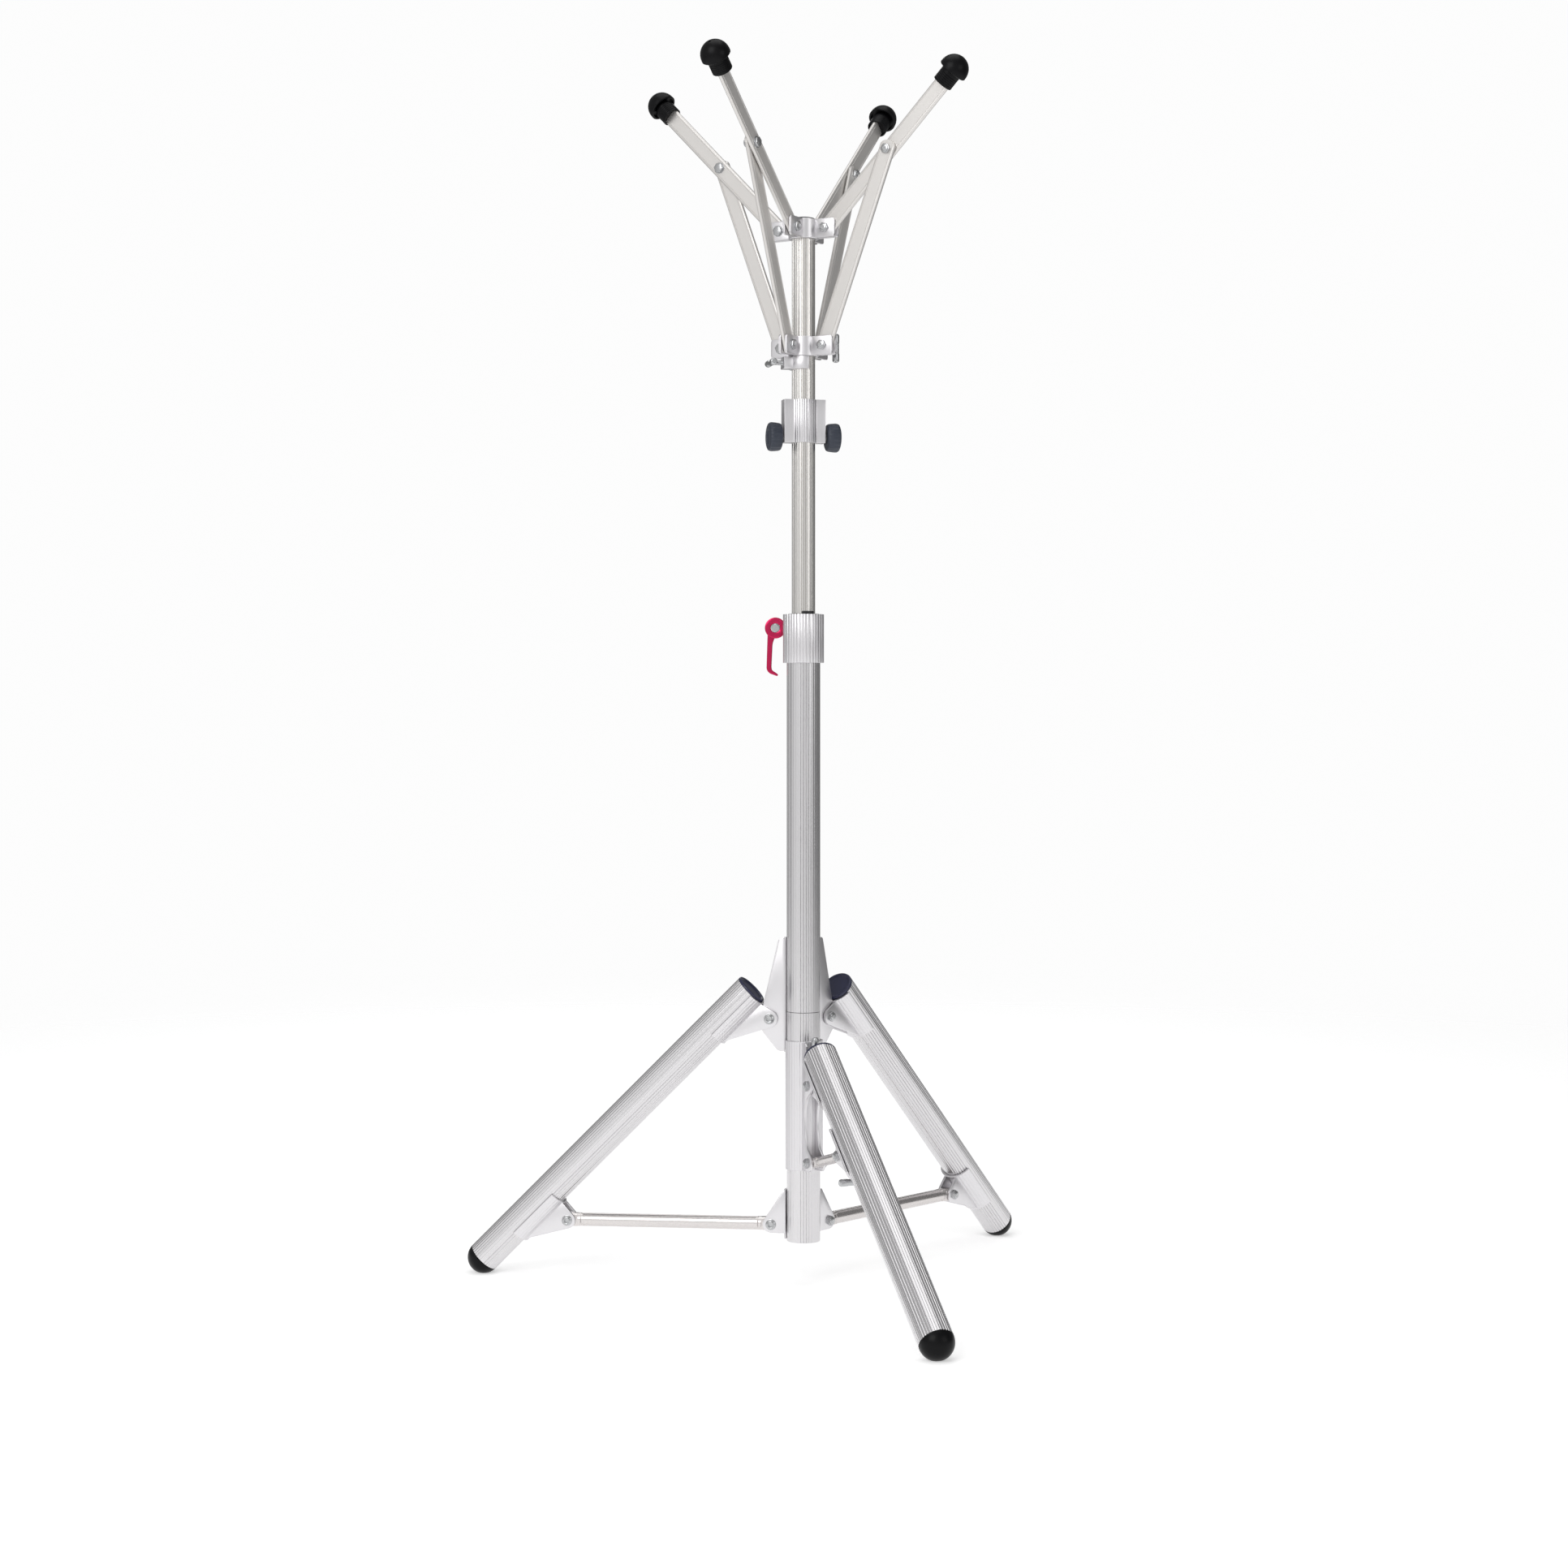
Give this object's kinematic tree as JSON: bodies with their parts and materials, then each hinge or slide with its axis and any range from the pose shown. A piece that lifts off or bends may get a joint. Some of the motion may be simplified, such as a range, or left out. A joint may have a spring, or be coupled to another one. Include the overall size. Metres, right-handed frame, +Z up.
{
  "type": "bike repair stand",
  "caption": "Folding tripod work stand with a telescoping column and a cradle of hinged, rubber-ended arms that carries a bicycle for repair.",
  "frame": {"origin": "centre of the column's flat bottom face, 52 mm above the floor", "axes": "+Z up along the column, -Y towards the front leg, +X towards the right rear leg's side"},
  "size_m": [0.7246, 0.6409, 1.4473],
  "materials": {
    "fluted_aluminium": "satin anodised, fluted",
    "fluted_aluminium_inner": "satin anodised, fluted",
    "satin_aluminium": "satin anodised extrusion",
    "arm_aluminium": "satin anodised flat bar",
    "strut_aluminium": "drawn, satin",
    "zinc_steel": "zinc plated",
    "black_rubber": "matte moulded",
    "black_plastic": "moulded",
    "navy_plastic": "moulded",
    "slate_plastic": "moulded, slightly textured",
    "red_anodised": "polished, red anodised"
  },
  "bodies": {
    "base": {"base_tube": "fluted_aluminium", "base_plug": "black_plastic", "main_tube": "fluted_aluminium", "wing_bracket": "satin_aluminium", "clamp_collar": "satin_aluminium", "clamp_bushing": "black_plastic", "clamp_skewer": "zinc_steel"},
    "lever": {"clamp_lever": "red_anodised"},
    "mast": {"mast_tube": "fluted_aluminium_inner", "mast_coupling": "satin_aluminium"},
    "left_knob": {"knob_left": "slate_plastic"},
    "right_knob": {"knob_right": "slate_plastic"},
    "head": {"head_tube": "fluted_aluminium_inner", "head_cap": "black_plastic", "arm_hub": "satin_aluminium"},
    "slider": {"arm_slider": "satin_aluminium", "slider_stop": "satin_aluminium"},
    "slider_lock": {"slider_screw": "zinc_steel"},
    "stop_lock": {"stop_screw": "zinc_steel"},
    "upper_arm_1": {"arm_1": "arm_aluminium", "arm_tip_1": "black_rubber"},
    "upper_arm_2": {"arm_2": "arm_aluminium", "arm_tip_2": "black_rubber"},
    "upper_arm_3": {"arm_3": "arm_aluminium", "arm_tip_3": "black_rubber"},
    "upper_arm_4": {"arm_4": "arm_aluminium", "arm_tip_4": "black_rubber"},
    "lower_link_1": {"link_1": "arm_aluminium"},
    "lower_link_2": {"link_2": "arm_aluminium"},
    "lower_link_3": {"link_3": "arm_aluminium"},
    "lower_link_4": {"link_4": "arm_aluminium"},
    "brace_carriage": {"brace_bracket": "satin_aluminium"},
    "brace_lock": {"brace_screw": "zinc_steel"},
    "left_strut": {"left_brace": "strut_aluminium"},
    "right_strut": {"right_brace": "strut_aluminium"},
    "rear_left_leg": {"left_leg": "fluted_aluminium", "left_foot": "black_rubber", "left_leg_cap": "navy_plastic", "left_upper_bracket": "satin_aluminium", "left_lower_bracket": "satin_aluminium"},
    "rear_right_leg": {"right_leg": "fluted_aluminium", "right_foot": "black_rubber", "right_leg_cap": "navy_plastic", "right_upper_bracket": "satin_aluminium", "right_lower_bracket": "satin_aluminium"},
    "sleeve": {"front_sleeve": "satin_aluminium", "sleeve_screw": "zinc_steel"},
    "fore_leg": {"front_leg": "fluted_aluminium", "front_foot": "black_rubber", "front_leg_cap": "navy_plastic", "front_upper_bracket": "satin_aluminium"},
    "fore_clamp": {"front_clamp": "satin_aluminium"},
    "fore_lock": {"front_clamp_screw": "zinc_steel"},
    "fore_link": {"front_link": "strut_aluminium"}
  },
  "joints": [
    {"name": "lever_swing", "type": "hinge", "parent": "base", "child": "lever", "pos_m": [-0.02088, 0.04116, 0.7332], "axis": [0.342, 0.9397, 0], "range_deg": [0, 150]},
    {"name": "mast_slide", "type": "slide", "parent": "base", "child": "mast", "axis": [0, 0, 1], "range_m": [-0.195, 0.15]},
    {"name": "left_knob_turn", "type": "hinge", "parent": "mast", "child": "left_knob", "pos_m": [0, 0, 0.9604], "axis": [-0.9925, 0.1219, 0], "continuous": true},
    {"name": "right_knob_turn", "type": "hinge", "parent": "mast", "child": "right_knob", "pos_m": [0, 0, 0.9604], "axis": [0.9925, -0.1219, 0], "continuous": true},
    {"name": "head_turn", "type": "hinge", "parent": "mast", "child": "head", "pos_m": [0, 0, 1], "axis": [0, 0, 1], "continuous": true},
    {"name": "slider_travel", "type": "slide", "parent": "head", "child": "slider", "axis": [0, 0, 1], "range_m": [-0.0203, 0.019]},
    {"name": "slider_lock_turn", "type": "hinge", "parent": "slider", "child": "slider_lock", "pos_m": [0.03, -0.00315, 1.06822], "axis": [0.9945, -0.1045, 0], "continuous": true},
    {"name": "stop_lock_turn", "type": "hinge", "parent": "slider", "child": "stop_lock", "pos_m": [-0.03, 0.00315, 1.04872], "axis": [-0.9945, 0.1045, 0], "continuous": true},
    {"name": "arm_1_swing", "type": "hinge", "parent": "head", "child": "upper_arm_1", "pos_m": [0.01907, -0.02355, 1.2085], "axis": [0.7771, 0.6293, 0], "range_deg": [-21.36, 22.81]},
    {"name": "arm_2_swing", "type": "hinge", "parent": "head", "child": "upper_arm_2", "pos_m": [0.02355, 0.01907, 1.2085], "axis": [-0.6293, 0.7771, 0], "range_deg": [-21.36, 22.81]},
    {"name": "arm_3_swing", "type": "hinge", "parent": "head", "child": "upper_arm_3", "pos_m": [-0.01907, 0.02355, 1.2085], "axis": [-0.7771, -0.6293, 0], "range_deg": [-21.36, 22.81]},
    {"name": "arm_4_swing", "type": "hinge", "parent": "head", "child": "upper_arm_4", "pos_m": [-0.02355, -0.01907, 1.2085], "axis": [0.6293, -0.7771, 0], "range_deg": [-21.36, 22.81]},
    {"name": "link_1_swing", "type": "hinge", "parent": "slider", "child": "lower_link_1", "pos_m": [0.01907, -0.02355, 1.06822], "axis": [0.7771, 0.6293, 0], "range_deg": [-8.12, 8.68]},
    {"name": "link_2_swing", "type": "hinge", "parent": "slider", "child": "lower_link_2", "pos_m": [0.02355, 0.01907, 1.06822], "axis": [-0.6293, 0.7771, 0], "range_deg": [-8.12, 8.68]},
    {"name": "link_3_swing", "type": "hinge", "parent": "slider", "child": "lower_link_3", "pos_m": [-0.01907, 0.02355, 1.06822], "axis": [-0.7771, -0.6293, 0], "range_deg": [-8.12, 8.68]},
    {"name": "link_4_swing", "type": "hinge", "parent": "slider", "child": "lower_link_4", "pos_m": [-0.02355, -0.01907, 1.06822], "axis": [0.6293, -0.7771, 0], "range_deg": [-8.12, 8.68]},
    {"name": "tripod_fold", "type": "slide", "parent": "base", "child": "brace_carriage", "axis": [0, 0, 1], "range_m": [0, 0.1446]},
    {"name": "brace_lock_turn", "type": "hinge", "parent": "brace_carriage", "child": "brace_lock", "pos_m": [0, 0.03, 0.0315], "axis": [0, 1, 0], "continuous": true},
    {"name": "left_strut_swing", "type": "hinge", "parent": "brace_carriage", "child": "left_strut", "pos_m": [-0.03291, 0.019, 0.0193], "axis": [-0.5, -0.866, 0], "range_deg": [0, 88.82]},
    {"name": "right_strut_swing", "type": "hinge", "parent": "brace_carriage", "child": "right_strut", "pos_m": [0.03291, 0.019, 0.0193], "axis": [-0.5, 0.866, 0], "range_deg": [0, 88.82]},
    {"name": "left_leg_swing", "type": "hinge", "parent": "left_strut", "child": "rear_left_leg", "pos_m": [-0.2502, 0.14445, 0.0161], "axis": [0.5, 0.866, 0], "range_deg": [0, 43.82]},
    {"name": "right_leg_swing", "type": "hinge", "parent": "right_strut", "child": "rear_right_leg", "pos_m": [0.2502, 0.14445, 0.0161], "axis": [0.5, -0.866, 0], "range_deg": [0, 43.82]},
    {"name": "sleeve_slide", "type": "slide", "parent": "base", "child": "sleeve", "axis": [0, 0, 1], "range_m": [-0.03, 0.03]},
    {"name": "front_leg_swing", "type": "hinge", "parent": "sleeve", "child": "fore_leg", "pos_m": [0, -0.04, 0.19], "axis": [1, 0, 0], "range_deg": [0, 53]},
    {"name": "front_link_swing", "type": "hinge", "parent": "sleeve", "child": "fore_link", "pos_m": [0, -0.04, 0.0987], "axis": [1, 0, 0], "range_deg": [0, 100.66]},
    {"name": "front_clamp_slide", "type": "slide", "parent": "fore_leg", "child": "fore_clamp", "axis": [0, -0.7986, -0.6018], "range_m": [0, 0.0735]},
    {"name": "fore_lock_turn", "type": "hinge", "parent": "fore_clamp", "child": "fore_lock", "pos_m": [0, -0.1651, 0.10011], "axis": [0, 0.6018, -0.7986], "continuous": true}
  ],
  "couplings": [
    {"joint": "arm_1_swing", "follows": "slider_travel", "rad_per_m": -19.61},
    {"joint": "arm_2_swing", "follows": "slider_travel", "rad_per_m": -19.61},
    {"joint": "arm_3_swing", "follows": "slider_travel", "rad_per_m": -19.61},
    {"joint": "arm_4_swing", "follows": "slider_travel", "rad_per_m": -19.61},
    {"joint": "link_1_swing", "follows": "slider_travel", "rad_per_m": -7.451},
    {"joint": "link_2_swing", "follows": "slider_travel", "rad_per_m": -7.451},
    {"joint": "link_3_swing", "follows": "slider_travel", "rad_per_m": -7.451},
    {"joint": "link_4_swing", "follows": "slider_travel", "rad_per_m": -7.451},
    {"joint": "left_strut_swing", "follows": "tripod_fold", "rad_per_m": 10.719},
    {"joint": "right_strut_swing", "follows": "tripod_fold", "rad_per_m": 10.719},
    {"joint": "left_leg_swing", "follows": "tripod_fold", "rad_per_m": 5.288},
    {"joint": "right_leg_swing", "follows": "tripod_fold", "rad_per_m": 5.288},
    {"joint": "front_link_swing", "follows": "front_leg_swing", "ratio": 1.8988},
    {"joint": "front_clamp_slide", "follows": "front_leg_swing", "m_per_rad": 0.07935}
  ]
}
